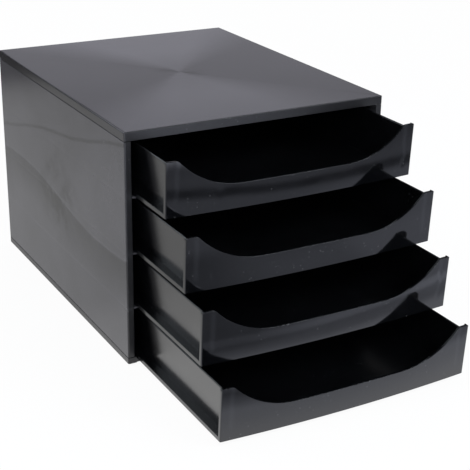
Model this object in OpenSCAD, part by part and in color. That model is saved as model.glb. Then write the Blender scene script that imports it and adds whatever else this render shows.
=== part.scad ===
// Desktop letter tray stack: a panelled casing with four open, scooped drawers.
// Millimetres. X runs across the front, Y from front to back and Z up from the table.
// The origin is on the table, in the middle of the footprint with the drawers as they stand.

/* [Casing] */
// Outside width of the casing
case_w = 284; // [250:1:330]
// Outside depth of the casing
case_d = 347; // [310:1:390]
// Radius of the casing's upright outer corners
case_r = 1.6; // [1:0.1:2]
// Thickness of the top plate
top_t = 2.5; // [2:0.1:3.5]
// Height of the skirt round the top panel
skirt_h = 8.7; // [8:0.1:12]
// Thickness of the top panel's skirt and of the base panel's rim
skirt_t = 2.4; // [2.1:0.1:2.6]
// Radius along the top panel's upper edges
top_r = 1.2; // [0.6:0.1:1.6]
// Thickness of the base plate
base_t = 2.5; // [2.2:0.1:3.2]
// Height of the rim round the base panel
rim_h = 6.3; // [5:0.1:7]
// Thickness of a side panel's wall
side_t = 2.8; // [2.4:0.1:3.2]
// Thickness of the back panel
back_t = 2.5; // [2:0.1:3.5]
// Reveal left along each seam between the casing's panels
seam = 0.6; // [0.2:0.1:0.8]
// Gap between a panel's edge and the slot that it plugs into
panel_fit = 0.15; // [0.1:0.05:0.2]
// Thickness of a side panel's plug-in tongue
tongue_t = 2.2; // [1.8:0.1:2.4]
// Height of the thick rail that carries a tongue
rail_h = 6; // [3:0.5:10]
// Thickness of a stiffening rib
rib_t = 1.6; // [1.2:0.1:2.4]
// Height of the ribs under the top plate
top_rib_h = 4; // [2:0.5:5]
// Number of ribs that run across under the top plate
cross_ribs = 3; // [1:1:6]
// Number of ribs that run from front to back under the top plate
long_ribs = 2; // [1:1:5]
// Height of the upright ribs inside the back panel
back_rib_h = 1.2; // [0.8:0.1:1.5]
// Number of upright ribs inside the back panel
back_ribs = 3; // [1:1:6]

/* [Front posts] */
// Width of the post at a side panel's front edge
post_w = 7; // [6.4:0.1:8]
// Wall of the post's folded section
post_t = 2.3; // [2:0.1:2.6]
// Depth of the post's inner fold
post_d = 12; // [8:0.5:20]
// Radius of the post's inner edge
post_r = 1; // [0.5:0.1:1.6]

/* [Ledges] */
// How far a ledge reaches under a drawer's runner
ledge_under = 5; // [3:0.5:8]
// Thickness of a ledge
ledge_t = 1.8; // [1.6:0.1:2.6]
// How far the ledges stop behind the casing's front
ledge_back = 0.8; // [0.2:0.1:3]
// Number of gussets under each ledge
gusset_count = 5; // [2:1:8]
// Height of a gusset against the side wall
gusset_h = 8; // [5:0.5:12]
// Height of the runners on the base plate
runner_h = 1.2; // [0.8:0.1:2]
// How far the base plate's front edge is set back between the posts
step_back = 1; // [1:0.5:6]
// Gap between the lowest front and the base panel's front blocks
block_gap = 0.6; // [0.4:0.1:1.5]

/* [Feet] */
// Diameter of a rubber foot
foot_d = 14; // [10:0.5:18]
// Thickness of a rubber foot
foot_t = 2; // [1.6:0.1:2.4]
// How far a foot stands below the base
foot_proud = 0.6; // [0.4:0.1:1]
// Gap round a foot in its recess
foot_fit = 0.2; // [0.1:0.1:0.5]
// Distance from a foot's centre to the casing's sides
foot_inset = 22; // [16:1:40]
// Bevel round a foot's lower edge
foot_bevel = 0.4; // [0.1:0.1:0.6]

/* [Drawer fronts] */
// Height from one drawer to the next
pitch = 56.3; // [50:0.1:70]
// Gap between one front and the next
front_gap = 3.3; // [3.2:0.1:5]
// Gap between a front and the post beside it
side_gap = 2.5; // [2:0.1:4]
// Gap above the top drawer's front
top_gap = 0.8; // [0.5:0.1:3]
// Thickness of a front
front_t = 2.6; // [2:0.1:3.2]
// How far a front bows forward at its middle
bow = 5; // [2:0.5:10]
// Angle at which a front leans forward
lean = 2.7; // [1:0.1:5]
// Depth of the fold at each end of a front
fold_d = 3.8; // [3.6:0.1:6]
// Radius of a front's upright edges
front_r = 1.3; // [1:0.1:3.5]
// Height of the low middle of a front's upper edge
dip_h = 24.2; // [16:0.1:32]
// Radius of the sweep from the low middle up to an ear
dip_r = 85; // [60:1:110]
// Width of the level part of an ear
ear_w = 9.7; // [6:0.1:20]
// Radius that rounds the ear into the sweep
ear_r = 4.5; // [2:0.1:6]
// Radius of an ear's outer corner
ear_corner_r = 2; // [1:0.1:3]

/* [Drawer trays] */
// Gap under the sliding runners
slide_fit = 0.3; // [0.2:0.05:0.5]
// Gap between a closed drawer and the back panel
rear_gap = 2.5; // [2:0.5:10]
// Gap between a drawer's sides and the ribs that hold the back panel
rib_gap = 1.5; // [0.5:0.1:2.5]
// Thickness of a drawer's floor
floor_t = 2.2; // [1.6:0.1:2.6]
// Thickness of a drawer's walls
wall_t = 2.2; // [1.6:0.1:3]
// Bevel on both sides of a wall's upper edge
wall_bevel = 0.7; // [0.3:0.1:0.7]
// Height of the runner lip along a drawer's edge
lip_h = 4.2; // [3.6:0.1:5]
// Thickness of the runner lip
lip_t = 1.8; // [1.4:0.1:2.4]
// Width of the flange outside a side wall's foot
flange_w = 8; // [6:0.5:10]
// Width of the flange outside the rear wall's foot
rear_flange_w = 6; // [5:0.5:10]
// Radius of the flange's rear corners
flange_r = 4; // [1:0.5:8]
// How far a wall spreads outward from foot to top
wall_spread = 3.5; // [1:0.5:4.5]
// How far a wall's top lies below the ears
wall_drop = 3.6; // [2:0.1:12]
// Radius of the rear corners at the walls' foot
corner_r = 12; // [10:1:20]
// Radius between walls and floor
fillet_r = 3; // [1:0.5:5]

/* [Stops] */
// Distance from a drawer's rear edge to its stop tabs
stop_back = 85; // [60:1:140]
// How far a stop tab reaches behind the post
stop_catch = 1.3; // [0.8:0.1:1.4]
// Length of a stop tab with its ramp
stop_len = 12; // [8:1:20]

/* [Drawers as they stand] */
// Opening of the top drawer
open_1 = 64; // [0:1:190]
// Opening of the second drawer
open_2 = 102; // [0:1:190]
// Opening of the third drawer
open_3 = 133; // [0:1:190]
// Opening of the lowest drawer
open_4 = 169; // [0:1:190]

/* [Hidden] */

case_colour = "#3a3c3f";
drawer_colour = "#2f3134";
rubber_colour = "#1c1c1c";
round_fn = 48;
sweep_fn = 360;
bow_fn = 1440;
past = 5; // how far a cutting shape runs past what it cuts
eps = 0.01; // how far joined shapes sink into each other
crease = 0.05; // how far a fillet runs into the faces that it joins

// Heights above the table
openings = [open_1, open_2, open_3, open_4];
drawer_count = len(openings);
plate_top = foot_proud + base_t;
rim_top = foot_proud + rim_h;
runner_top = plate_top + runner_h;
lowest_z = runner_top + slide_fit;
front_h = pitch - front_gap;
mouth_top = lowest_z + (drawer_count - 1) * pitch + front_h + top_gap;
case_h = mouth_top + skirt_h;
top_under = case_h - top_t;
function drawer_z(i) = lowest_z + (drawer_count - 1 - i) * pitch;

// Places across and along the casing, from its front left corner
front_x = post_w + side_gap;
front_w = case_w - 2 * front_x;
ledge_w = front_x + ledge_under;
tuck = skirt_t + panel_fit; // how far in from the outside a tongue stands
back_y = case_d - skirt_t - panel_fit - back_t;
groove_w = front_x - rib_gap;
groove_y = back_y - panel_fit - rib_t;
block_w = front_x - block_gap;

// A drawer, from its front's lower left corner
drawer_len = back_y - rear_gap;
bow_r = (pow(front_w / 2, 2) + pow(bow, 2)) / (2 * bow);
wall_top = front_h - wall_drop;
stop_out = side_gap + stop_catch;
reach = max(openings) + bow / cos(lean) + dip_h * tan(lean);

// Puts what is drawn from the casing's front left corner into the part's own frame.
module in_place() {
    translate([-case_w / 2, -(case_d - reach) / 2, 0]) children();
}

// Draws its children on the left and again, mirrored, on the right of a width.
module both_sides(w) {
    children();
    translate([w, 0, 0]) mirror([1, 0, 0]) children();
}

// What a rounding of radius r takes off a square corner at the origin.
module corner_waste(r) {
    difference() {
        translate([-past, -past]) square(past + r);
        translate([r, r]) circle(r = r, $fn = round_fn);
    }
}

// The same along an upper edge that runs from the origin along Y, its solid at positive x.
module edge_waste(len, r) {
    translate([0, len + past, 0]) rotate([90, 0, 0])
        linear_extrude(len + 2 * past) mirror([0, 1]) corner_waste(r);
}

// Outline of the casing from above.
module case_outline() {
    difference() {
        square([case_w, case_d]);
        both_sides(case_w) {
            corner_waste(case_r);
            translate([0, case_d]) mirror([0, 1]) corner_waste(case_r);
        }
    }
}

// Top panel: a plate with a skirt on all sides and stiffening ribs under it.
module top_panel() {
    rib_x = tuck + tongue_t + panel_fit;
    rib_w = case_w - 2 * rib_x;
    rib_d = groove_y - skirt_t;
    color(case_colour) in_place() {
        difference() {
            translate([0, 0, mouth_top]) linear_extrude(skirt_h) case_outline();
            translate([skirt_t, skirt_t, mouth_top - past])
                cube([case_w - 2 * skirt_t, case_d - 2 * skirt_t, skirt_h - top_t + past]);
            translate([0, 0, case_h]) {
                both_sides(case_w) edge_waste(case_d, top_r);
                mirror([1, -1, 0]) both_sides(case_d) edge_waste(case_w, top_r);
            }
        }
        for (k = [1 : cross_ribs])
            translate([rib_x, skirt_t + k * rib_d / (cross_ribs + 1), top_under - top_rib_h])
                cube([rib_w, rib_t, top_rib_h + eps]);
        for (k = [1 : long_ribs])
            translate([rib_x + k * rib_w / (long_ribs + 1), skirt_t - eps, top_under - top_rib_h])
                cube([rib_t, rib_d + eps, top_rib_h + eps]);
    }
}

// Base panel: a plate with a rim on three sides, blocks under the posts, two runners for the
// lowest drawer and round recesses for the feet.
module base_panel() {
    mouth_w = case_w - 2 * block_w;
    color(case_colour) in_place() difference() {
        union() {
            translate([0, 0, foot_proud]) linear_extrude(base_t) difference() {
                case_outline();
                translate([block_w, -past]) square([mouth_w, past + step_back]);
            }
            translate([0, 0, foot_proud]) linear_extrude(rim_h) difference() {
                case_outline();
                translate([skirt_t, skirt_t]) square([case_w - 2 * skirt_t, case_d - 2 * skirt_t]);
                translate([block_w, -past]) square([mouth_w, 2 * past]);
            }
            translate([block_w - eps, step_back, foot_proud])
                cube([mouth_w + 2 * eps, skirt_t, runner_top - foot_proud]);
            both_sides(case_w) translate([front_x, step_back, foot_proud])
                cube([ledge_under, groove_y - step_back, runner_top - foot_proud]);
        }
        at_feet() translate([0, 0, foot_proud - past])
            cylinder(d = foot_d + 2 * foot_fit, h = foot_t - foot_proud + past, $fn = round_fn);
    }
}

// Outline of a side panel from above: wall, front post, back groove.
module side_plan() {
    difference() {
        union() {
            square([side_t, case_d]);
            square([post_w, post_t]);
            translate([post_w - post_t, 0]) square([post_t, post_d]);
            translate([0, case_d - skirt_t]) square([groove_w, skirt_t]);
            translate([0, groove_y]) square([groove_w, rib_t]);
        }
        corner_waste(case_r);
        translate([0, case_d]) mirror([0, 1]) corner_waste(case_r);
        translate([post_w, 0]) mirror([1, 0]) corner_waste(post_r);
    }
}

// Section of the thick rails along a side panel's foot and head, behind the post.
module rail_section() {
    inner_x = tuck + tongue_t;
    taper = inner_x - side_t;
    for (at = [[rim_top + seam, 1], [mouth_top - seam, -1]])
        polygon([
            [side_t - eps, at[0]],
            [inner_x, at[0]],
            [inner_x, at[0] + at[1] * rail_h],
            [side_t - eps, at[0] + at[1] * (rail_h + taper)]
        ]);
}

// Left side panel: outer wall with its post, the tongues above and below, and three ledges.
module side_panel() {
    gusset_step = (groove_y - post_d) / (gusset_count + 1);
    tongue_h = rim_top + seam + eps - plate_top;
    translate([0, 0, rim_top + seam]) linear_extrude(mouth_top - rim_top - 2 * seam) side_plan();
    translate([0, groove_y + eps, 0]) rotate([90, 0, 0])
        linear_extrude(groove_y - post_t + 2 * eps) rail_section();
    translate([tuck, tuck, plate_top]) cube([tongue_t, groove_y - tuck, tongue_h]);
    translate([tuck, tuck, mouth_top - seam - eps])
        cube([tongue_t, groove_y - tuck, top_under - mouth_top + seam + eps]);
    for (i = [0 : drawer_count - 2]) {
        under = drawer_z(i) - slide_fit - ledge_t;
        translate([side_t - eps, ledge_back, under])
            cube([ledge_w - side_t + eps, groove_y - ledge_back + eps, ledge_t]);
        for (k = [1 : gusset_count])
            translate([0, post_d + k * gusset_step, 0]) rotate([90, 0, 0]) linear_extrude(rib_t)
                polygon([
                    [side_t - eps, under + eps],
                    [side_t - eps, under - gusset_h],
                    [front_x, under + eps]
                ]);
    }
}

module left_side_panel() {
    color(case_colour) in_place() side_panel();
}

module right_side_panel() {
    color(case_colour) in_place() translate([case_w, 0, 0]) mirror([1, 0, 0]) side_panel();
}

// Back panel: a plate held in the side panels' grooves, with upright ribs inside.
module back_panel() {
    edge = side_t + panel_fit;
    plate_w = case_w - 2 * edge;
    color(case_colour) in_place() {
        translate([edge, back_y, plate_top]) cube([plate_w, back_t, top_under - plate_top]);
        for (k = [1 : back_ribs])
            translate([edge + k * plate_w / (back_ribs + 1), back_y - back_rib_h, rim_top])
                cube([rib_t, back_rib_h + eps, mouth_top - rim_top]);
    }
}

// The solid behind a front's outer face, set back by inset: a leaning cylinder of large radius.
module behind_front(inset) {
    rotate([lean, 0, 0]) translate([front_w / 2, bow_r - bow, -front_h])
        cylinder(r = bow_r - inset, h = 3 * front_h, $fn = bow_fn);
}

// Outline of a front from above: a bowed wall with folded, rounded ends.
module front_plan() {
    centre_y = bow_r - bow;
    corner_y = centre_y - sqrt(pow(bow_r - front_r, 2) - pow(front_w / 2 - front_r, 2));
    out = [front_r - front_w / 2, corner_y - centre_y] / (bow_r - front_r);
    touch = [front_r, corner_y] + out * (front_r + past);
    difference() {
        intersection() {
            translate([front_w / 2, centre_y]) circle(r = bow_r, $fn = bow_fn);
            translate([0, -bow - past]) square([front_w, bow + past + fold_d]);
        }
        intersection() {
            translate([front_w / 2, centre_y]) circle(r = bow_r - front_t, $fn = bow_fn);
            translate([front_t, -bow]) square([front_w - 2 * front_t, bow + fold_d + past]);
        }
        both_sides(front_w) difference() {
            polygon([[front_r, corner_y], [-past, corner_y], [-past, touch[1]], touch]);
            translate([front_r, corner_y]) circle(r = front_r, $fn = round_fn);
        }
    }
}

// What the dip takes out of one half of a front: the low middle, the sweep and the ear's rounding.
module half_dip() {
    ear_z = front_h - ear_r;
    sweep_z = dip_h + dip_r;
    apart = dip_r + ear_r - crease;
    run = sqrt(pow(apart, 2) - pow(sweep_z - ear_z, 2));
    low_x = ear_w + run;
    beyond = [ear_w, ear_z] + [run, sweep_z - ear_z] * (ear_r + past) / apart;
    translate([low_x, dip_h]) square([front_w / 2 - low_x + eps, front_h]);
    intersection() {
        translate([low_x, sweep_z]) circle(r = dip_r, $fn = sweep_fn);
        translate([ear_w, dip_h]) square([run + past, front_h]);
    }
    difference() {
        polygon([[ear_w, ear_z], [ear_w, front_h + past], [beyond[0], front_h + past], beyond]);
        translate([ear_w, ear_z]) circle(r = ear_r, $fn = round_fn);
    }
}

// Outline of a front from before it: ears at both ends and a long low middle.
module front_face() {
    difference() {
        square([front_w, front_h]);
        both_sides(front_w) {
            translate([0, front_h]) mirror([0, 1]) corner_waste(ear_corner_r);
            half_dip();
        }
    }
}

// Drawer front: the bowed, leaning wall cut to its scooped outline.
module drawer_front() {
    intersection() {
        rotate([lean, 0, 0]) translate([0, 0, -past]) linear_extrude(front_h + 2 * past) front_plan();
        translate([0, fold_d + past, 0]) rotate([90, 0, 0])
            linear_extrude(bow + fold_d + 3 * past) front_face();
    }
}

// Section of a tray wall: x outward from the outer face's foot, y up.
module wall_section() {
    rim_y = wall_top - wall_bevel;
    slope = atan(wall_spread / (rim_y - lip_h));
    fillet_x = -wall_t - fillet_r * (1 - sin(slope)) / cos(slope);
    touch_y = lip_h + fillet_r * (1 - sin(slope));
    touch_x = (touch_y - lip_h) * tan(slope) - wall_t;
    difference() {
        polygon([
            [0, lip_h - eps],
            [wall_spread, rim_y],
            [wall_spread - wall_bevel, wall_top],
            [wall_spread - wall_t + wall_bevel, wall_top],
            [wall_spread - wall_t, rim_y],
            [touch_x, touch_y],
            [fillet_x + crease, lip_h - eps]
        ]);
        translate([fillet_x + crease, lip_h + fillet_r - crease]) circle(r = fillet_r, $fn = round_fn);
    }
}

// Side walls, rear wall and the two rear corners between them.
module tray_walls() {
    side_len = drawer_len - rear_flange_w - corner_r;
    rear_x = flange_w + corner_r;
    both_sides(front_w) {
        translate([flange_w, side_len, 0]) rotate([90, 0, 0]) mirror([1, 0, 0])
            linear_extrude(side_len + bow) wall_section();
        translate([rear_x, side_len, 0]) rotate([0, 0, 90]) rotate_extrude(angle = 90, $fn = round_fn)
            translate([corner_r, 0]) wall_section();
    }
    translate([rear_x, side_len + corner_r, 0]) rotate([90, 0, 90])
        linear_extrude(front_w - 2 * rear_x) wall_section();
}

// Outline of the floor with its flanges, from above, shrunk by inset at the sides and the rear.
module floor_outline(inset) {
    difference() {
        translate([inset, -bow - past]) square([front_w - 2 * inset, drawer_len + bow + past - inset]);
        both_sides(front_w) translate([inset, drawer_len - inset]) mirror([0, 1])
            corner_waste(flange_r);
    }
}

// Stop tabs: they catch behind the posts, and their ramps let the drawer in.
module stop_tabs() {
    both_sides(front_w) translate([0, drawer_len - stop_back, 0]) linear_extrude(lip_h)
        polygon([[lip_t, 0], [-stop_out, 0], [-stop_out, stop_len / 4], [lip_t, stop_len]]);
}

// A whole drawer, drawn from its front's lower left corner.
module drawer_body() {
    drawer_front();
    intersection() {
        union() {
            translate([0, 0, lip_h - floor_t]) linear_extrude(floor_t) floor_outline(0);
            linear_extrude(lip_h - floor_t + eps) difference() {
                floor_outline(0);
                translate([0, -past]) floor_outline(lip_t);
            }
            tray_walls();
            stop_tabs();
        }
        behind_front(front_t / 2);
    }
}

module drawer(i) {
    color(drawer_colour) in_place()
        translate([front_x, -openings[i], drawer_z(i)]) drawer_body();
}

// Places its children at the four feet.
module at_feet() {
    both_sides(case_w) for (y = [foot_inset, case_d - foot_inset]) translate([foot_inset, y, 0]) children();
}

// Rubber foot: a round pad with a bevelled lower edge, seated in the base panel.
module foot(right, back) {
    x = right ? case_w - foot_inset : foot_inset;
    y = back ? case_d - foot_inset : foot_inset;
    r = foot_d / 2;
    color(rubber_colour) in_place() translate([x, y, 0]) rotate_extrude($fn = round_fn)
        polygon([[0, 0], [r - foot_bevel, 0], [r, foot_bevel], [r, foot_t], [0, foot_t]]);
}

top_panel();
base_panel();
left_side_panel();
right_side_panel();
back_panel();
drawer(0);  // drawer_1
drawer(1);  // drawer_2
drawer(2);  // drawer_3
drawer(3);  // drawer_4
foot(false, false);  // foot_front_left
foot(true, false);  // foot_front_right
foot(false, true);  // foot_back_left
foot(true, true);  // foot_back_right
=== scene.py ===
# Letter tray stack: moulded plastic casing with four open drawers.
import bpy
import bmesh
from math import radians
from mathutils import Matrix, Vector


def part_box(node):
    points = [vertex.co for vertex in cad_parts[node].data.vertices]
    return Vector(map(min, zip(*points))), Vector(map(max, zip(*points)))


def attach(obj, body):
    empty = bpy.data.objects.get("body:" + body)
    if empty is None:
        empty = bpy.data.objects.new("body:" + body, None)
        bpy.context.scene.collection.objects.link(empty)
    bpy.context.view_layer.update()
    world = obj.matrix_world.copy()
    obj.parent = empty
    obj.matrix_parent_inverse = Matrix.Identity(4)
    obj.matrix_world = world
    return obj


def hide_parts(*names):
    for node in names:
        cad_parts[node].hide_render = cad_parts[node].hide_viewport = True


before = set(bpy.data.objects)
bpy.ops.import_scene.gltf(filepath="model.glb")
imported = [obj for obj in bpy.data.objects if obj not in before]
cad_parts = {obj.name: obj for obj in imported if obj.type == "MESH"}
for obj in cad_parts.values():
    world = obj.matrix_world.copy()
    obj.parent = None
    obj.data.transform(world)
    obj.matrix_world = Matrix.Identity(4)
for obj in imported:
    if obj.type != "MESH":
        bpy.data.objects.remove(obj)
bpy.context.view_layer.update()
scene = bpy.context.scene
print("frame loaded with", len(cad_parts), "nodes")

cameraSetup = {
    "place": (-0.5449, -1.0038, 0.5521),
    "look": (0.45485, 0.80415, -0.38269),
    "down": (-0.1726, -0.34197, -0.92372),
    "focalPixels": 1163.6,  # for a frame 470 pixels wide
    "framePixels": 470,
    "sensorWidth": 36.0,
    "clip": (0.01, 50),
}


def placeCamera(setup):
    look = Vector(setup["look"]).normalized()
    right = look.cross(-Vector(setup["down"])).normalized()
    turn = Matrix((right, right.cross(look), -look)).transposed().to_4x4()
    data = bpy.data.cameras.new("camera")
    data.sensor_width = setup["sensorWidth"]
    data.lens = setup["focalPixels"] / setup["framePixels"] * setup["sensorWidth"]
    data.clip_start, data.clip_end = setup["clip"]
    camera = bpy.data.objects.new("camera", data)
    camera.matrix_world = Matrix.Translation(setup["place"]) @ turn
    scene.collection.objects.link(camera)
    scene.camera = camera
    print("camera placed, lens", round(data.lens, 1))


# Helpers for building node trees
def addNode(tree, kind, at, values=None, **settings):
    node = tree.nodes.new(kind)
    node.location = at
    for name, setting in settings.items():
        setattr(node, name, setting)
    for name, value in (values or {}).items():
        node.inputs[name].default_value = value
    return node


def doMath(tree, operation, at, *terms, clamp=False):
    node = addNode(tree, "ShaderNodeMath", at, operation=operation, use_clamp=clamp)
    for socket, term in zip(node.inputs, terms):
        if isinstance(term, (int, float)):
            socket.default_value = term
        else:
            tree.links.new(term, socket)
    return node.outputs[0]


def doVector(tree, operation, at, *terms):
    node = addNode(tree, "ShaderNodeVectorMath", at, operation=operation)
    for socket, term in zip(node.inputs, terms):
        if isinstance(term, tuple):
            socket.default_value = term
        else:
            tree.links.new(term, socket)
    return node.outputs["Value" if operation in ("DOT_PRODUCT", "LENGTH") else "Vector"]


def splitVector(tree, vector, at):
    node = addNode(tree, "ShaderNodeSeparateXYZ", at)
    tree.links.new(vector, node.inputs[0])
    return node.outputs


def ease(tree, value, at, fromLow, fromHigh, toLow=0.0, toHigh=1.0):
    ramp = addNode(tree, "ShaderNodeMapRange", at, interpolation_type="SMOOTHSTEP")
    limits = {"From Min": fromLow, "From Max": fromHigh, "To Min": toLow, "To Max": toHigh}
    for name, limit in limits.items():
        ramp.inputs[name].default_value = limit
    tree.links.new(value, ramp.inputs["Value"])
    return ramp.outputs["Result"]


def noise(tree, vector, at, scale, detail=2.0, roughness=0.5, distortion=0.0, output="Fac"):
    values = {"Scale": scale, "Detail": detail, "Roughness": roughness, "Distortion": distortion}
    node = addNode(tree, "ShaderNodeTexNoise", at, values)
    tree.links.new(vector, node.inputs["Vector"])
    return node.outputs[output]


def addUp(tree, base, terms, at):
    total = base
    for step, (mask, amount) in enumerate(terms):
        total = doMath(tree, "MULTIPLY_ADD", (at[0] + 170 * step, at[1]), mask, amount, total)
    return total


def newGroup(name, inputs, outputs):
    tree = bpy.data.node_groups.new(name, "ShaderNodeTree")
    for socketName, kind, value in inputs:
        kind = "NodeSocket" + kind
        socket = tree.interface.new_socket(socketName, in_out="INPUT", socket_type=kind)
        if value is not None:
            socket.default_value = value
    for socketName in outputs:
        tree.interface.new_socket(socketName, in_out="OUTPUT", socket_type="NodeSocketFloat")
    given = addNode(tree, "NodeGroupInput", (-1500, 0)).outputs
    result = addNode(tree, "NodeGroupOutput", (900, 0)).inputs
    return tree, given, result


def useGroup(tree, group, at, vector=None, **values):
    node = addNode(tree, "ShaderNodeGroup", at, node_tree=group)
    if vector is not None:
        tree.links.new(vector, node.inputs["Vector"])
    for name, value in values.items():
        socket = node.inputs[name]
        if isinstance(value, (int, float)):
            socket.default_value = value
        else:
            tree.links.new(value, socket)
    return node.outputs


def wobbled(tree, vector, at, scale, amount):
    # the same place, pushed about a little so that straight marks run unevenly
    push = noise(tree, vector, at, scale, output="Color")
    push = doVector(tree, "SUBTRACT", (at[0] + 170, at[1]), push, (0.5, 0.5, 0.5))
    return doVector(tree, "MULTIPLY_ADD", (at[0] + 340, at[1]), push, (amount, amount, 0.0), vector)


flowShape = {
    "wobble": (14.0, 0.010),  # its scale, and how far in metres
    "leastTotal": 0.02,  # keeps the gate itself from a division by nothing
    "ends": (-0.30, 0.42),
    "gateFade": (0.0, 0.110, 0.55, 1.0),  # the painted sheen of the pale ends is weaker near the gate
    "seamWidth": (0.003, 0.016),
    "breakScale": 17.0,
    "breaks": (0.30, 0.56),
    "seamTurn": (-0.002, 0.002),
    "ringRate": 540.0,
    "ringReach": (0.003, 0.042),
    "lobeReach": (0.004, 0.036),
    "lobeSpread": (0.1, 0.9),
    "clouds": (11.0, 5.0, 0.6, 0.4),
    "cloudLimits": (0.30, 0.70),
    "blotches": (34.0, 5.0, 0.7),
    "blotchLimits": (0.42, 0.62),
    "blotchReach": (0.012, 0.075),
}


def makeFlowMarks(shape):
    # what the melt leaves as it spreads from its gate to a panel's corners, with painted sheen on the pale
    # ends and on the seams' tones
    inputs = [
        ("Vector", "Vector", None), ("Width", "Float", 0.14), ("Height", "Float", 0.17),
        ("Skew", "Float", 0.0),
    ]
    outputs = ["Ends", "Depth", "PaleSeams", "DarkSeams", "Ripples", "Lobes", "Clouds", "Blotches"]
    tree, given, result = newGroup("flowMarks", inputs, outputs)
    bent = wobbled(tree, given["Vector"], (-1300, 300), *shape["wobble"])
    x, y, _ = splitVector(tree, bent, (-780, 300))
    side = doMath(tree, "DIVIDE", (-600, 400), x, given["Width"])
    depth = doMath(tree, "DIVIDE", (-600, 200), y, given["Height"])
    across = doMath(tree, "ABSOLUTE", (-420, 400), side)
    along = doMath(tree, "ABSOLUTE", (-420, 200), depth)
    apart = doMath(tree, "SUBTRACT", (-240, 300), along, across)
    total = doMath(tree, "ADD", (-240, 140), along, across)
    total = doMath(tree, "MAXIMUM", (-60, 140), total, shape["leastTotal"])
    angle = doMath(tree, "DIVIDE", (-60, 300), apart, total)
    distance = doVector(tree, "LENGTH", (-600, -480), bent)

    # painted sheen: the pale ends, turned a little by the skew
    skewed = doMath(tree, "MULTIPLY", (-600, 600), depth, given["Skew"])
    skewed = doMath(tree, "ABSOLUTE", (-240, 600), doMath(tree, "SUBTRACT", (-420, 600), side, skewed))
    skewed = doMath(tree, "DIVIDE", (120, 600), doMath(tree, "SUBTRACT", (-60, 600), along, skewed), total)
    ends = ease(tree, skewed, (300, 600), *shape["ends"])
    away = ease(tree, distance, (300, 420), *shape["gateFade"])
    tree.links.new(doMath(tree, "MULTIPLY", (480, 600), ends, away), result["Ends"])
    tree.links.new(depth, result["Depth"])

    # the weld seams where the ends and the sides met, with painted sheen making them pale on one diagonal
    # and dark on the other
    apart = doMath(tree, "ABSOLUTE", (-60, 0), apart)
    line = ease(tree, apart, (120, 0), *shape["seamWidth"], 1.0, 0.0)
    broken = noise(tree, given["Vector"], (-60, -160), shape["breakScale"])
    line = doMath(tree, "MULTIPLY", (300, 0), line, ease(tree, broken, (120, -160), *shape["breaks"]))
    turn = doMath(tree, "MULTIPLY", (120, -320), side, depth)
    turn = ease(tree, turn, (300, -320), *shape["seamTurn"])
    other = doMath(tree, "SUBTRACT", (480, -320), 1.0, turn)
    tree.links.new(doMath(tree, "MULTIPLY", (660, 0), line, turn), result["PaleSeams"])
    tree.links.new(doMath(tree, "MULTIPLY", (660, -160), line, other), result["DarkSeams"])

    # rings and dark lobes at the gate
    rings = doMath(tree, "MULTIPLY", (-420, -480), distance, shape["ringRate"])
    rings = doMath(tree, "SINE", (-240, -480), rings)
    fading = ease(tree, distance, (-240, -640), *shape["ringReach"], 1.0, 0.0)
    tree.links.new(doMath(tree, "MULTIPLY", (-60, -480), rings, fading), result["Ripples"])
    beside = ease(tree, distance, (300, 780), *shape["lobeReach"], 1.0, 0.0)
    diagonal = doMath(tree, "ABSOLUTE", (120, 940), angle)
    diagonal = ease(tree, diagonal, (300, 940), *shape["lobeSpread"], 1.0, 0.0)
    lobes = doMath(tree, "MULTIPLY", (480, 860), beside, diagonal)
    tree.links.new(doMath(tree, "MULTIPLY", (660, 860), lobes, other), result["Lobes"])

    # clouds all over, and blotches in a ring round the gate
    cloud = noise(tree, given["Vector"], (-600, -820), *shape["clouds"])
    tree.links.new(ease(tree, cloud, (-420, -820), *shape["cloudLimits"]), result["Clouds"])
    close = ease(tree, distance, (-240, -1020), *shape["blotchReach"], 1.0, 0.0)
    patchy = noise(tree, given["Vector"], (-420, -1180), *shape["blotches"])
    patchy = ease(tree, patchy, (-240, -1180), *shape["blotchLimits"])
    tree.links.new(doMath(tree, "MULTIPLY", (-60, -1020), close, patchy), result["Blotches"])
    return tree


frontShape = {
    "wobble": (28.0, 0.003),
    "lineWidth": (0.0006, 0.0030),
    "underEdge": (-0.0012, 0.0006),
}


def makeFlowFront(shape):
    # a wavy line where two streams of the melt met, with a tone that fades below it
    inputs = [
        ("Vector", "Vector", None), ("Level", "Float", 0.0), ("Slope", "Float", 0.0),
        ("Swing", "Float", 0.01), ("Rate", "Float", 14.5), ("Fade", "Float", 0.05),
    ]
    tree, given, result = newGroup("flowFront", inputs, ["Line", "Below"])
    bent = wobbled(tree, given["Vector"], (-1300, 200), *shape["wobble"])
    x, y, _ = splitVector(tree, bent, (-780, 200))
    swing = doMath(tree, "SINE", (-420, 300), doMath(tree, "MULTIPLY", (-600, 300), x, given["Rate"]))
    level = doMath(tree, "MULTIPLY_ADD", (-240, 300), swing, given["Swing"], given["Level"])
    level = doMath(tree, "MULTIPLY_ADD", (-60, 300), x, given["Slope"], level)
    above = doMath(tree, "SUBTRACT", (120, 200), y, level)
    line = doMath(tree, "ABSOLUTE", (300, 300), above)
    tree.links.new(ease(tree, line, (480, 300), *shape["lineWidth"], 1.0, 0.0), result["Line"])
    share = doMath(tree, "DIVIDE", (300, 0), above, given["Fade"])
    near = ease(tree, share, (480, 0), -1.0, 0.0)
    under = ease(tree, above, (480, -160), *shape["underEdge"], 1.0, 0.0)
    tree.links.new(doMath(tree, "MULTIPLY", (660, -60), near, under), result["Below"])
    return tree


grainShape = {
    "grain": {"Detail": 3.0, "Roughness": 0.6},
    "speckScale": 260.0,
    "speckSize": (0.08, 0.26),
    "patchScale": 75.0,
    "patchLimits": (0.50, 0.68),
    "mottle": (180.0, 4.0, 0.65),
}


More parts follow.
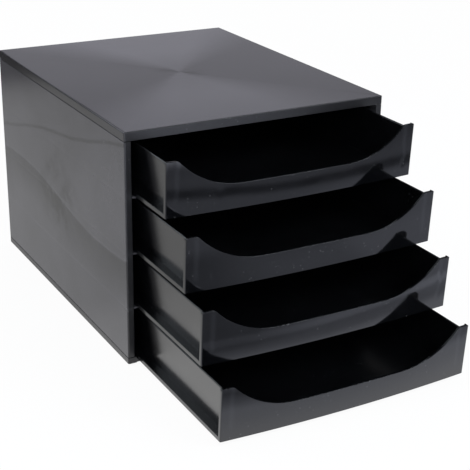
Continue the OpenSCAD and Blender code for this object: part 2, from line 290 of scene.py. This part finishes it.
def makeFineGrain(shape):
    # the mould's eroded texture, with a few pale specks of dust
    inputs = [("Vector", "Vector", None), ("Scale", "Float", 1500.0), ("Dust", "Float", 0.5)]
    tree, given, result = newGroup("fineGrain", inputs, ["Height", "Specks", "Mottle"])
    grain = addNode(tree, "ShaderNodeTexNoise", (-700, 200), shape["grain"])
    tree.links.new(given["Vector"], grain.inputs["Vector"])
    tree.links.new(given["Scale"], grain.inputs["Scale"])
    tree.links.new(grain.outputs["Fac"], result["Height"])
    spacing = {"Scale": shape["speckScale"]}
    cells = addNode(tree, "ShaderNodeTexVoronoi", (-700, -60), spacing, feature="F1")
    tree.links.new(given["Vector"], cells.inputs["Vector"])
    dots = ease(tree, cells.outputs["Distance"], (-500, -60), *shape["speckSize"], 1.0, 0.0)
    patches = noise(tree, given["Vector"], (-700, -320), shape["patchScale"])
    some = ease(tree, patches, (-500, -320), *shape["patchLimits"])
    dust = doMath(tree, "MULTIPLY", (-300, -160), dots, some)
    dust = doMath(tree, "MULTIPLY", (-100, -160), dust, given["Dust"], clamp=True)
    tree.links.new(dust, result["Specks"])
    soft = noise(tree, given["Vector"], (-700, -560), *shape["mottle"])
    tree.links.new(soft, result["Mottle"])
    return tree


rubShape = {
    "samples": 6,
    "turned": (0.86, 0.99),
    "wear": (120.0, 3.0),
    "wearLimits": (0.45, 0.75),
}


def makeEdgeRub(shape):
    # paler where handling has polished an edge
    inputs = [("Vector", "Vector", None), ("Radius", "Float", 0.0006)]
    tree, given, result = newGroup("edgeRub", inputs, ["Rub"])
    soft = addNode(tree, "ShaderNodeBevel", (-700, 160), samples=shape["samples"])
    tree.links.new(given["Radius"], soft.inputs["Radius"])
    surface = addNode(tree, "ShaderNodeNewGeometry", (-700, -40)).outputs["Normal"]
    turned = doVector(tree, "DOT_PRODUCT", (-500, 100), soft.outputs["Normal"], surface)
    edge = ease(tree, turned, (-300, 100), *shape["turned"], 1.0, 0.0)
    worn = noise(tree, given["Vector"], (-500, -220), *shape["wear"])
    worn = ease(tree, worn, (-300, -220), *shape["wearLimits"])
    tree.links.new(doMath(tree, "MULTIPLY", (-100, 0), edge, worn), result["Rub"])
    return tree


def makeSinkLine():
    # the faint groove left opposite a wall or a ledge as the plastic shrinks, whose mask also carries a
    # painted highlight
    inputs = [("Coordinate", "Float", 0.0), ("Place", "Float", 0.0), ("Reach", "Float", 0.002)]
    tree, given, result = newGroup("sinkLine", inputs, ["Dip"])
    away = doMath(tree, "SUBTRACT", (-700, 0), given["Coordinate"], given["Place"])
    away = doMath(tree, "ABSOLUTE", (-600, 0), away)
    share = doMath(tree, "DIVIDE", (-500, 0), away, given["Reach"])
    tree.links.new(ease(tree, share, (-300, 0), 0.0, 1.0, 1.0, 0.0), result["Dip"])
    return tree


flowMarks = makeFlowMarks(flowShape)
flowFront = makeFlowFront(frontShape)
fineGrain = makeFineGrain(grainShape)
edgeRub = makeEdgeRub(rubShape)
sinkLine = makeSinkLine()
print("surface effects built")

casingPlastic = {
    "deep": (0.0010, 0.0011, 0.0014, 1),
    "pale": (0.100, 0.096, 0.106, 1),
    "dust": (0.12, 0.12, 0.123, 1),
    "rubbed": (0.008, 0.0082, 0.009, 1),
    "ior": 1.48,
    "roughness": 0.14,
    "cloudRoughness": 0.02,
    "mottleRoughness": 0.03,
    "mottleTone": 0.12,
    "grainScale": 1500.0,
    "grainHeight": 0.0000022,
    "dustAmount": 0.50,
    "rippleHeight": 0.000014,
    "sinkDepth": 0.00005,
    "sinkReach": 0.0024,
    "frontBlend": 0.0006,
    "frontRoughness": 0.22,  # added on the grained front edges
    "frontTone": 0.02,
    "frontGrainScale": 900.0,
    "frontGrainHeight": 0.000016,
    "skirtBlend": (0.0012, 0.0004),  # below the top face, where the skirt's painted shade begins
}
drawerPlastic = {
    "deep": (0.0008, 0.0009, 0.0012, 1),
    "pale": (0.014, 0.0145, 0.0165, 1),
    "dust": (0.09, 0.09, 0.092, 1),
    "rubbed": (0.008, 0.0082, 0.009, 1),
    "ior": 1.58,
    "roughness": 0.04,
    "wallRoughness": 0.13,  # added behind the polished front
    "cloudRoughness": 0.02,
    "mottleRoughness": 0.03,
    "mottleTone": 0.12,
    "grainScale": 1500.0,
    "grainHeight": 0.0000012,
    "dustAmount": 0.40,
    "tone": 0.02,
    "clouds": (20.0, 3.0, 0.5, 0.5),
    "cloudLimits": (0.32, 0.68),
    "cloudTone": 0.08,
    "smears": (60.0, 2.0, 0.5, 1.5),
    "smearLimits": (0.64, 0.76),
    "smearTone": 0.10,
    "sinkDepth": 0.00004,
    "sinkReach": 0.0042,
    "sinkHighlightTone": 0.38,
    "frontBlend": 0.001,
    "lipBlend": 0.010,
}
footRubber = {
    "deep": (0.008, 0.008, 0.008, 1),
    "dusty": (0.045, 0.043, 0.040, 1),
    "ior": 1.45,
    "roughness": 0.7,
    "mottleRoughness": 0.2,
    "mottleDust": 0.35,
    "grainScale": 2600.0,
    "grainHeight": 0.00004,
    "dustAmount": 0.9,
}


def startMaterial(name):
    material = bpy.data.materials.new(name)
    material.use_nodes = True
    tree = material.node_tree
    tree.nodes.clear()
    place = addNode(tree, "ShaderNodeTexCoord", (-2300, 0)).outputs["Object"]
    return material, tree, place


def finishPlastic(tree, look, place, tone, roughness, height):
    # deep to pale by tone, then rubbed edges and dust over it
    speckle = {"Scale": look["grainScale"], "Dust": look["dustAmount"]}
    grain = useGroup(tree, fineGrain, (-500, -500), place, **speckle)
    rub = useGroup(tree, edgeRub, (-500, -760), place)["Rub"]
    tone = doMath(tree, "MULTIPLY_ADD", (-300, 500), grain["Mottle"], look["mottleTone"], tone)
    colour = None
    layers = [(tone, look["pale"]), (rub, look["rubbed"]), (grain["Specks"], look["dust"])]
    for step, (amount, shade) in enumerate(layers):
        mix = addNode(tree, "ShaderNodeMix", (-100 + 180 * step, 300), data_type="RGBA")
        tree.links.new(amount, mix.inputs["Factor"])
        if colour is None:
            mix.inputs["A"].default_value = look["deep"]
        else:
            tree.links.new(colour, mix.inputs["A"])
        mix.inputs["B"].default_value = shade
        colour = mix.outputs["Result"]
    grained = doMath(tree, "MULTIPLY_ADD", (0, -300), grain["Height"], look["grainHeight"], height)
    bump = addNode(tree, "ShaderNodeBump", (200, -300), {"Strength": 1.0, "Distance": 1.0})
    tree.links.new(grained, bump.inputs["Height"])
    terms = (grain["Mottle"], look["mottleRoughness"], roughness)
    mottled = doMath(tree, "MULTIPLY_ADD", (0, -60), *terms, clamp=True)
    shader = addNode(tree, "ShaderNodeBsdfPrincipled", (480, 200), {"IOR": look["ior"]})
    tree.links.new(colour, shader.inputs["Base Color"])
    tree.links.new(mottled, shader.inputs["Roughness"])
    tree.links.new(bump.outputs["Normal"], shader.inputs["Normal"])
    output = addNode(tree, "ShaderNodeOutputMaterial", (780, 200))
    tree.links.new(shader.outputs["BSDF"], output.inputs["Surface"])


markTones = {  # the value of a panel that gives each mark's tone, where the panel has it
    "Clouds": "cloudTone", "Blotches": "blotchTone", "PaleSeams": "paleSeamTone",
    "DarkSeams": "darkSeamTone", "Lobes": "lobeTone",
}


def panelPlastic(name, panel):
    # casing plastic with its marks laid out round the panel's own gate; its pale ends and its
    # front-to-back tone are painted sheen
    look = casingPlastic
    material, tree, place = startMaterial(name)
    fromGate = addNode(tree, "ShaderNodeMapping", (-2100, 200), vector_type="TEXTURE")
    fromGate.inputs["Location"].default_value = panel["gate"]
    fromGate.inputs["Rotation"].default_value = [radians(a) for a in panel["turn"]]
    tree.links.new(place, fromGate.inputs["Vector"])
    onPanel = fromGate.outputs[0]
    halfWidth, halfHeight = panel["halfSize"]
    size = {"Width": halfWidth, "Height": halfHeight, "Skew": panel.get("skew", 0.0)}
    flow = useGroup(tree, flowMarks, (-1800, 300), onPanel, **size)
    # painted sheen: paler ends, and a tone that changes from front to back
    ends = doMath(
        tree, "MULTIPLY_ADD", (-1560, 500), flow["Depth"], panel["depthSheenTone"], panel["endSheenTone"],
    )
    marks = [(doMath(tree, "MULTIPLY", (-1400, 500), flow["Ends"], ends), 1.0)]
    marks += [(flow[mark], panel[value]) for mark, value in markTones.items() if value in panel]
    tone = addUp(tree, panel["tone"], marks, (-1240, 500))
    for line in panel.get("fronts", []):
        met = useGroup(tree, flowFront, (-1800, -900), onPanel, **line["shape"])
        fronts = [(met["Line"], line["lineTone"]), (met["Below"], line["belowTone"])]
        tone = addUp(tree, tone, fronts, (-560, 500))
    height = doMath(tree, "MULTIPLY", (-1560, -100), flow["Ripples"], look["rippleHeight"])
    rough = addUp(tree, look["roughness"], [(flow["Clouds"], look["cloudRoughness"])], (-1560, 120))

    # grained front edges without marks, and painted shade that darkens the skirt
    _, y, z = splitVector(tree, place, (-2100, -400))
    edges = (panel["frontY"], panel["frontY"] + look["frontBlend"])
    front = ease(tree, y, (-1800, -300), *edges, 1.0, 0.0)
    coarse = useGroup(tree, fineGrain, (-1800, -600), place, Scale=look["frontGrainScale"])["Height"]
    coarse = doMath(tree, "MULTIPLY", (-1560, -500), coarse, front)
    height = addUp(tree, height, [(coarse, look["frontGrainHeight"])], (-1240, -100))
    rough = addUp(tree, rough, [(front, look["frontRoughness"])], (-1240, 120))
    marked = doMath(tree, "SUBTRACT", (-1560, -340), 1.0, front)
    # painted shade: the skirt keeps only a share of the marked tone
    if "paintedSkirtShade" in panel:
        edges = [panel["gate"][2] - below for below in look["skirtBlend"]]
        onFace = ease(tree, z, (-1560, -420), *edges, panel["paintedSkirtShade"], 1.0)
        marked = doMath(tree, "MULTIPLY", (-1400, -340), marked, onFace)
    tone = doMath(tree, "MAXIMUM", (-400, 780), tone, 0.0)
    tone = doMath(tree, "MULTIPLY", (-400, 620), tone, marked)
    tone = addUp(tree, tone, [(front, look["frontTone"])], (-240, 620))

    # sink grooves at the ledges, each with a painted highlight along it
    for step, (level, ledgeHighlightTone) in enumerate(panel.get("ledges", [])):
        line = {"Coordinate": z, "Place": level, "Reach": look["sinkReach"]}
        dip = useGroup(tree, sinkLine, (-1500, -900 - 200 * step), **line)["Dip"]
        height = addUp(tree, height, [(dip, -look["sinkDepth"])], (-1070 + 170 * step, -100))
        tone = addUp(tree, tone, [(dip, ledgeHighlightTone)], (-1070 + 170 * step, 700))
    finishPlastic(tree, look, place, tone, rough, height)
    return material


def trayPlastic(name, tray):
    # polished in front, duller behind, with a sink groove before each side wall and a painted highlight
    # along it
    look = drawerPlastic
    material, tree, place = startMaterial(name)
    x, y, z = splitVector(tree, place, (-2100, -400))
    cloud = noise(tree, place, (-1800, 300), *look["clouds"])
    cloud = ease(tree, cloud, (-1600, 300), *look["cloudLimits"])
    smear = noise(tree, place, (-1800, 520), *look["smears"])
    smear = ease(tree, smear, (-1600, 520), *look["smearLimits"])
    marks = [(cloud, look["cloudTone"]), (smear, look["smearTone"])]
    tone = addUp(tree, look["tone"], marks, (-1400, 400))
    rough = addUp(tree, look["roughness"], [(cloud, look["cloudRoughness"])], (-1400, 100))

    edges = (tray["frontY"], tray["frontY"] + look["frontBlend"])
    onFront = ease(tree, y, (-1700, -640), *edges, 1.0, 0.0)
    behind = doMath(tree, "SUBTRACT", (-1500, -760), 1.0, onFront)
    rough = addUp(tree, rough, [(behind, look["wallRoughness"])], (-1200, 100))
    side = doMath(tree, "ABSOLUTE", (-1900, -400), x)
    line = {"Coordinate": side, "Place": tray["wallX"], "Reach": look["sinkReach"]}
    dip = useGroup(tree, sinkLine, (-1700, -400), **line)["Dip"]
    above = ease(tree, z, (-1700, -880), tray["lipZ"], tray["lipZ"] + look["lipBlend"])
    dip = doMath(tree, "MULTIPLY", (-1500, -500), dip, onFront)
    dip = doMath(tree, "MULTIPLY", (-1340, -500), dip, above)
    height = doMath(tree, "MULTIPLY", (-1180, -400), dip, -look["sinkDepth"])
    # painted highlight along the sink groove
    tone = addUp(tree, tone, [(dip, look["sinkHighlightTone"])], (-1000, 400))
    finishPlastic(tree, look, place, tone, rough, height)
    return material


def padRubber(name, look):
    material, tree, place = startMaterial(name)
    speckle = {"Scale": look["grainScale"], "Dust": look["dustAmount"]}
    grain = useGroup(tree, fineGrain, (-700, 0), place, **speckle)
    terms = (grain["Mottle"], look["mottleDust"], grain["Specks"])
    dusty = doMath(tree, "MULTIPLY_ADD", (-450, 200), *terms, clamp=True)
    body = addNode(tree, "ShaderNodeMix", (-200, 200), data_type="RGBA")
    body.inputs["A"].default_value = look["deep"]
    body.inputs["B"].default_value = look["dusty"]
    tree.links.new(dusty, body.inputs["Factor"])
    rough = addUp(tree, look["roughness"], [(grain["Mottle"], look["mottleRoughness"])], (-450, 0))
    depth = {"Strength": 1.0, "Distance": look["grainHeight"]}
    bump = addNode(tree, "ShaderNodeBump", (-200, -240), depth)
    tree.links.new(grain["Height"], bump.inputs["Height"])
    shader = addNode(tree, "ShaderNodeBsdfPrincipled", (100, 120), {"IOR": look["ior"]})
    tree.links.new(body.outputs["Result"], shader.inputs["Base Color"])
    tree.links.new(rough, shader.inputs["Roughness"])
    tree.links.new(bump.outputs["Normal"], shader.inputs["Normal"])
    output = addNode(tree, "ShaderNodeOutputMaterial", (400, 120))
    tree.links.new(shader.outputs["BSDF"], output.inputs["Surface"])
    return material


copySetup = {
    "mergeReach": 0.000002,
    "flatAngle": 0.4,
    "faceReach": 0.0001,  # how near the top face its own points lie
    "shadeWeight": 60,
}


def roundedCopy(node, name, shape):
    # a merged copy of a node, its sharp edges given the small radius that a mould leaves
    bm = bmesh.new()
    bm.from_mesh(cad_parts[node].data)
    bmesh.ops.remove_doubles(bm, verts=bm.verts, dist=copySetup["mergeReach"])
    flat = radians(copySetup["flatAngle"])
    bmesh.ops.dissolve_limit(bm, angle_limit=flat, verts=bm.verts, edges=bm.edges)
    if "draft" in shape:
        # the skirt's sides lean in towards the top, as a mould's must
        level = shape["gate"][2] - copySetup["faceReach"]
        upper = [v for v in bm.verts if v.co.z > level]
        share = [1 - shape["draft"] / half for half in shape["halfSize"]]
        middle = Matrix.Translation([-a for a in shape["gate"]])
        bmesh.ops.scale(bm, vec=(share[0], share[1], 1), space=middle, verts=upper)
    least = radians(shape["sharpAngle"])
    sharp = [e for e in bm.edges if e.is_manifold and e.calc_face_angle(0) > least]
    bmesh.ops.bevel(
        bm, geom=sharp, offset=shape["edgeRadius"], offset_type="OFFSET", segments=2,
        profile=0.5, affect="EDGES", clamp_overlap=False, material=-1,
    )
    bmesh.ops.recalc_face_normals(bm, faces=bm.faces)
    for face in bm.faces:
        face.smooth = True
    most = radians(shape["smoothAngle"])
    for edge in bm.edges:
        edge.smooth = edge.is_manifold and edge.calc_face_angle(0) < most
    mesh = bpy.data.meshes.new(name)
    bm.to_mesh(mesh)
    bm.free()
    piece = bpy.data.objects.new(name, mesh)
    scene.collection.objects.link(piece)
    even = piece.modifiers.new("evenShading", "WEIGHTED_NORMAL")
    even.keep_sharp = True
    even.weight = copySetup["shadeWeight"]
    return piece


def dress(piece, node, body, material):
    piece.data.materials.append(material)
    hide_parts(node)
    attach(piece, body)


# Places that the marks are laid out by, read off the frame
topLow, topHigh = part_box("top_panel")
baseLow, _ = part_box("base_panel")
middleY = (topLow.y + topHigh.y) / 2
middleZ = (baseLow.z + topHigh.z) / 2
halfDepth = (topHigh.y - topLow.y) / 2
trayBoxes = {number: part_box(f"drawer_{number}") for number in (1, 2, 3, 4)}
moulded = {
    "edgeRadius": 0.00025, "sharpAngle": 25, "smoothAngle": 50,
    "frontY": topLow.y + 0.0004,  # the grained front edges end here
}

# the top's pale ends and lighter back are painted sheen on its own colour
topPanel = dict(
    moulded, gate=(0, middleY, topHigh.z), turn=(0, 0, 0), halfSize=(topHigh.x, halfDepth),
    tone=0.26, endSheenTone=0.58, depthSheenTone=0.16, cloudTone=0.08, skew=0.34,
    paleSeamTone=0.08, darkSeamTone=-0.16, lobeTone=-0.24, paintedSkirtShade=0.25, draft=0.00080,
)
piece = roundedCopy("top_panel", "topPanel", topPanel)
dress(piece, "top_panel", "casing", panelPlastic("topPanelPlastic", topPanel))

basePanel = dict(
    moulded, gate=(0, middleY, baseLow.z), turn=(0, 0, 0), halfSize=(topHigh.x, halfDepth),
    tone=0.08, endSheenTone=0.1, depthSheenTone=0.035, cloudTone=0.07, blotchTone=-0.07,
)
piece = roundedCopy("base_panel", "basePanel", basePanel)
dress(piece, "base_panel", "casing", panelPlastic("basePanelPlastic", basePanel))

streamsMet = {
    "shape": {"Level": -0.0015, "Slope": 0.0, "Swing": 0.0115, "Rate": 14.5, "Fade": 0.055},
    "lineTone": 0.10, "belowTone": -0.28,
}
darkStreak = {
    "shape": {"Level": 0.069, "Slope": -0.20, "Swing": 0.0022, "Rate": 30.0, "Fade": 0.006},
    "lineTone": -0.24, "belowTone": -0.04,
}
# painted highlight tones for the sink lines at the ledges
ledgeMarks = {
    "highlightTones": {1: 0.02, 2: 0.03, 3: 0.10},
    "belowTray": 0.0012,  # the middle of a ledge, under its drawer's lips
}
sidePanel = dict(
    moulded, turn=(90, 0, 90), halfSize=(halfDepth, middleZ), fronts=[streamsMet, darkStreak],
    ledges=[
        (trayBoxes[number][0].z - ledgeMarks["belowTray"], tone)
        for number, tone in ledgeMarks["highlightTones"].items()
    ],
    tone=0.40, endSheenTone=-0.06, depthSheenTone=-0.045, cloudTone=0.15, blotchTone=-0.32,
)
for side, x in (("left", topLow.x), ("right", topHigh.x)):
    thisPanel = dict(sidePanel, gate=(x, middleY, middleZ))
    piece = roundedCopy(f"{side}_side_panel", f"{side}SidePanel", thisPanel)
    material = panelPlastic(f"{side}SidePlastic", thisPanel)
    dress(piece, f"{side}_side_panel", "casing", material)

backPanel = dict(
    moulded, gate=(0, topHigh.y, middleZ), turn=(90, 0, 0), halfSize=(topHigh.x, middleZ),
    tone=0.09, endSheenTone=0.07, depthSheenTone=0.035, cloudTone=0.07, blotchTone=-0.07,
)
piece = roundedCopy("back_panel", "backPanel", backPanel)
dress(piece, "back_panel", "casing", panelPlastic("backPanelPlastic", backPanel))
print("casing panels made")

drawerTray = {
    "edgeRadius": 0.00030, "sharpAngle": 25, "smoothAngle": 50,
    "wallX": 0.1222,  # where the side walls meet the front from behind
    "frontDepth": 0.009, "lipHeight": 0.006,
}
for number, (low, high) in trayBoxes.items():
    frontY = low.y + drawerTray["frontDepth"]
    tray = dict(drawerTray, frontY=frontY, lipZ=low.z + drawerTray["lipHeight"])
    piece = roundedCopy(f"drawer_{number}", f"drawerTray{number}", tray)
    material = trayPlastic(f"drawerPlastic{number}", tray)
    dress(piece, f"drawer_{number}", f"drawer_{number}_body", material)
print("drawers made")

rubberFoot = {"edgeRadius": 0.00015, "sharpAngle": 30, "smoothAngle": 50}
footMaterial = padRubber("footRubber", footRubber)
for end in ("front", "back"):
    for side in ("left", "right"):
        node = f"foot_{end}_{side}"
        piece = roundedCopy(node, "rubberFoot" + end.title() + side.title(), rubberFoot)
        dress(piece, node, "casing", footMaterial)
print("feet made")

floorSetup = {
    "size": 8.0,
    "colour": (0.82, 0.82, 0.83, 1),
    "whiteShare": 0.94,  # how far the floor is plain white to the camera
    "tilt": -0.157,  # how the light's edges turn with x, far in front alone
    "tiltEnds": (-0.45, -0.40),
    "stops": [  # y in metres, and the painted light and shadow that gloss shows on the floor there
        (-0.80, 0.08), (-0.66, 0.24), (-0.557, 0.43), (-0.5445, 0.10), (-0.528, 0.10),
        (-0.514, 0.50), (-0.44, 0.48), (-0.385, 0.54), (-0.345, 0.52), (-0.339, 0.86),
        (-0.332, 0.86), (-0.326, 0.54), (-0.315, 0.60), (-0.298, 1.08), (-0.262, 1.34),
        (-0.14, 1.12), (-0.02, 0.80), (0.075, 0.63), (0.36, 0.63), (0.555, 0.58),
        (0.79, 0.54), (0.88, 0.50), (0.93, 0.36), (1.02, 0.08),
    ],
    # a painted pool of light far in front
    "frontPatch": {"x": (0.34, 0.56), "y": (-0.68, -0.60), "light": 3.6},
    "sideways": {
        "near": (-0.47, -0.44), "far": (-0.33, -0.31), "left": (-0.06, 0.09), "leftShare": 0.5,
        "right": (0.17, 0.24), "rightExtra": 0.3,
    },
    "frontTint": {"colour": (0.93, 0.97, 1.14, 1), "y": (-0.34, -0.22)},
}
worldSetup = {"soft": (0.92, 0.94, 0.98, 1), "mirrored": (0.415, 0.41, 0.455, 1)}
# dark sheets of painted shade that only reflections show
shadeCards = [
    {
        "name": "ceilingShadeCard",
        "corners": [(-3.2, -3.2, 1.3), (3.2, -3.2, 1.3), (3.2, 2.6, 1.3), (-3.2, 2.6, 1.3)],
    },
    {
        "name": "backLeftShadeCard",
        "corners": [(-3.0, 2.2, 0.0), (0.42, 2.2, 0.0), (0.42, 2.2, 1.3), (-3.0, 2.2, 1.3)],
    },
]
cardShade = (0.02, 0.02, 0.022, 1)
softboxes = [
    {"name": "frontLeftSoftbox", "place": (-0.50, -1.60, 1.05), "size": (0.8, 0.8), "power": 12},
    {"name": "frontRightSoftbox", "place": (0.62, -1.00, 1.10), "size": (0.6, 0.4), "power": 6},
    {"name": "backSoftbox", "place": (-0.9, 1.50, 1.25), "size": (0.9, 0.9), "power": 6},
]
softboxAim = (0, -0.05, 0.1)
lampColour = (0.84, 0.92, 1.0)


def flatSheet(name, corners):
    bm = bmesh.new()
    bmesh.ops.contextual_create(bm, geom=[bm.verts.new(corner) for corner in corners])
    mesh = bpy.data.meshes.new(name)
    bm.to_mesh(mesh)
    bm.free()
    sheet = bpy.data.objects.new(name, mesh)
    scene.collection.objects.link(sheet)
    return sheet


def mirroredRay(tree, path, at):
    # the rays by which gloss and glass show what lies round the table
    return doMath(tree, "ADD", at, path["Is Glossy Ray"], path["Is Transmission Ray"], clamp=True)


# a floor plain white to the camera, with painted light and shadow that only gloss shows
def makeFloor(setup):
    half = setup["size"] / 2
    floor = flatSheet("floor", [(-half, -half, 0), (half, -half, 0), (half, half, 0), (-half, half, 0)])
    material, tree, place = startMaterial("paleFloor")
    path = addNode(tree, "ShaderNodeLightPath", (-1200, 400)).outputs
    mirrored = mirroredRay(tree, path, (-1000, 300))
    seen = doMath(tree, "MULTIPLY", (-800, 400), path["Is Camera Ray"], setup["whiteShare"])
    seen = doMath(tree, "ADD", (-600, 400), seen, mirrored, clamp=True)

    # painted light that changes along Y, with a painted shadow line in it, as gloss shows it
    x, y, _ = splitVector(tree, place, (-2000, 0))
    tilted = ease(tree, y, (-1800, 0), *setup["tiltEnds"], setup["tilt"], 0.0)
    across = doMath(tree, "MULTIPLY_ADD", (-1500, 0), tilted, x, y)
    lit = setup["stops"][0][1]
    for step, ((start, low), (end, high)) in enumerate(zip(setup["stops"], setup["stops"][1:])):
        rise = ease(tree, across, (-1200, -170 * step), start, end, 0.0, high - low)
        lit = doMath(tree, "ADD", (-1000 + 60 * step, -170 * step), rise, lit)

    # painted shade on the left and painted light on the right, in a band before the fronts
    band = setup["sideways"]
    near = ease(tree, y, (-1200, -2300), *band["near"])
    far = ease(tree, y, (-1200, -2500), *band["far"], 1.0, 0.0)
    inBand = doMath(tree, "MULTIPLY", (-1000, -2400), near, far)
    change = ease(tree, x, (-1200, -2700), *band["left"], band["leftShare"] - 1.0, 0.0)
    extra = ease(tree, x, (-1200, -2900), *band["right"], 0.0, band["rightExtra"])
    change = doMath(tree, "ADD", (-1000, -2800), change, extra)
    share = doMath(tree, "MULTIPLY_ADD", (-800, -2600), change, inBand, 1.0)
    lit = doMath(tree, "MULTIPLY", (-600, -300), lit, share)

    # and a painted pool of light lies far in front
    patch = setup["frontPatch"]
    patchX = ease(tree, x, (-1200, -1900), *patch["x"], 1.0, 0.0)
    patchY = ease(tree, y, (-1200, -2100), *patch["y"], patch["light"], 0.0)
    patchLit = doMath(tree, "MULTIPLY", (-900, -2000), patchX, patchY)
    lit = doMath(tree, "MAXIMUM", (-400, -300), lit, patchLit)

    # a painted cool tint on that light in front
    tint = setup["frontTint"]
    inFront = ease(tree, across, (-800, -500), *tint["y"], 1.0, 0.0)
    hue = addNode(tree, "ShaderNodeMix", (-200, -260), data_type="RGBA")
    hue.inputs["A"].default_value = (1, 1, 1, 1)
    hue.inputs["B"].default_value = tint["colour"]
    tree.links.new(doMath(tree, "MULTIPLY", (-600, -500), inFront, mirrored), hue.inputs["Factor"])
    strength = addNode(tree, "ShaderNodeMix", (-200, 0), data_type="FLOAT")
    strength.inputs["A"].default_value = 1.0
    tree.links.new(mirrored, strength.inputs["Factor"])
    tree.links.new(lit, strength.inputs["B"])
    plain = addNode(tree, "ShaderNodeBsdfDiffuse", (0, 100), {"Color": setup["colour"]})
    white = addNode(tree, "ShaderNodeEmission", (0, -60))
    tree.links.new(hue.outputs["Result"], white.inputs["Color"])
    tree.links.new(strength.outputs["Result"], white.inputs["Strength"])
    mix = addNode(tree, "ShaderNodeMixShader", (240, 100))
    tree.links.new(seen, mix.inputs[0])
    tree.links.new(plain.outputs[0], mix.inputs[1])
    tree.links.new(white.outputs[0], mix.inputs[2])
    output = addNode(tree, "ShaderNodeOutputMaterial", (460, 100))
    tree.links.new(mix.outputs[0], output.inputs["Surface"])
    floor.data.materials.append(material)


def cardMaterial(name, shade):
    material, tree, _ = startMaterial(name)
    dark = addNode(tree, "ShaderNodeEmission", (0, 0), {"Color": shade})
    output = addNode(tree, "ShaderNodeOutputMaterial", (240, 0))
    tree.links.new(dark.outputs[0], output.inputs["Surface"])
    return material


def hangCard(card, material):
    # a dark sheet of painted shade, standing for the unlit studio round the table, which only gloss shows
    sheet = flatSheet(card["name"], card["corners"])
    sheet.data.materials.append(material)
    sheet.visible_camera = False
    sheet.visible_diffuse = False
    sheet.visible_transmission = False
    sheet.visible_shadow = False


def makeWorld(setup):
    world = bpy.data.worlds.new("studio")
    scene.world = world
    world.use_nodes = True
    tree = world.node_tree
    tree.nodes.clear()
    path = addNode(tree, "ShaderNodeLightPath", (-900, 300)).outputs
    mirrored = mirroredRay(tree, path, (-700, 200))
    seen = doMath(tree, "ADD", (-500, 300), path["Is Camera Ray"], mirrored, clamp=True)
    shade = addNode(tree, "ShaderNodeMix", (-300, -100), data_type="RGBA")
    shade.inputs["A"].default_value = setup["mirrored"]
    shade.inputs["B"].default_value = (1, 1, 1, 1)
    tree.links.new(path["Is Camera Ray"], shade.inputs["Factor"])
    soft = addNode(tree, "ShaderNodeBackground", (0, 100), {"Color": setup["soft"]})
    shown = addNode(tree, "ShaderNodeBackground", (0, -60))
    tree.links.new(shade.outputs["Result"], shown.inputs["Color"])
    mix = addNode(tree, "ShaderNodeMixShader", (240, 100))
    tree.links.new(seen, mix.inputs[0])
    tree.links.new(soft.outputs[0], mix.inputs[1])
    tree.links.new(shown.outputs[0], mix.inputs[2])
    output = addNode(tree, "ShaderNodeOutputWorld", (460, 100))
    tree.links.new(mix.outputs[0], output.inputs["Surface"])
    scene.view_settings.view_transform = "Standard"


def hangSoftbox(box):
    data = bpy.data.lights.new(box["name"], "AREA")
    data.shape = "RECTANGLE"
    data.size, data.size_y = box["size"]
    data.energy = box["power"]
    data.color = lampColour
    lamp = bpy.data.objects.new(box["name"], data)
    lamp.location = box["place"]
    way = Vector(softboxAim) - Vector(box["place"])
    lamp.rotation_euler = way.to_track_quat("-Z", "Y").to_euler()
    scene.collection.objects.link(lamp)


makeFloor(floorSetup)
paintedStudioShade = cardMaterial("paintedStudioShade", cardShade)
for card in shadeCards:
    hangCard(card, paintedStudioShade)
makeWorld(worldSetup)
for box in softboxes:
    hangSoftbox(box)
placeCamera(cameraSetup)
print("studio ready")
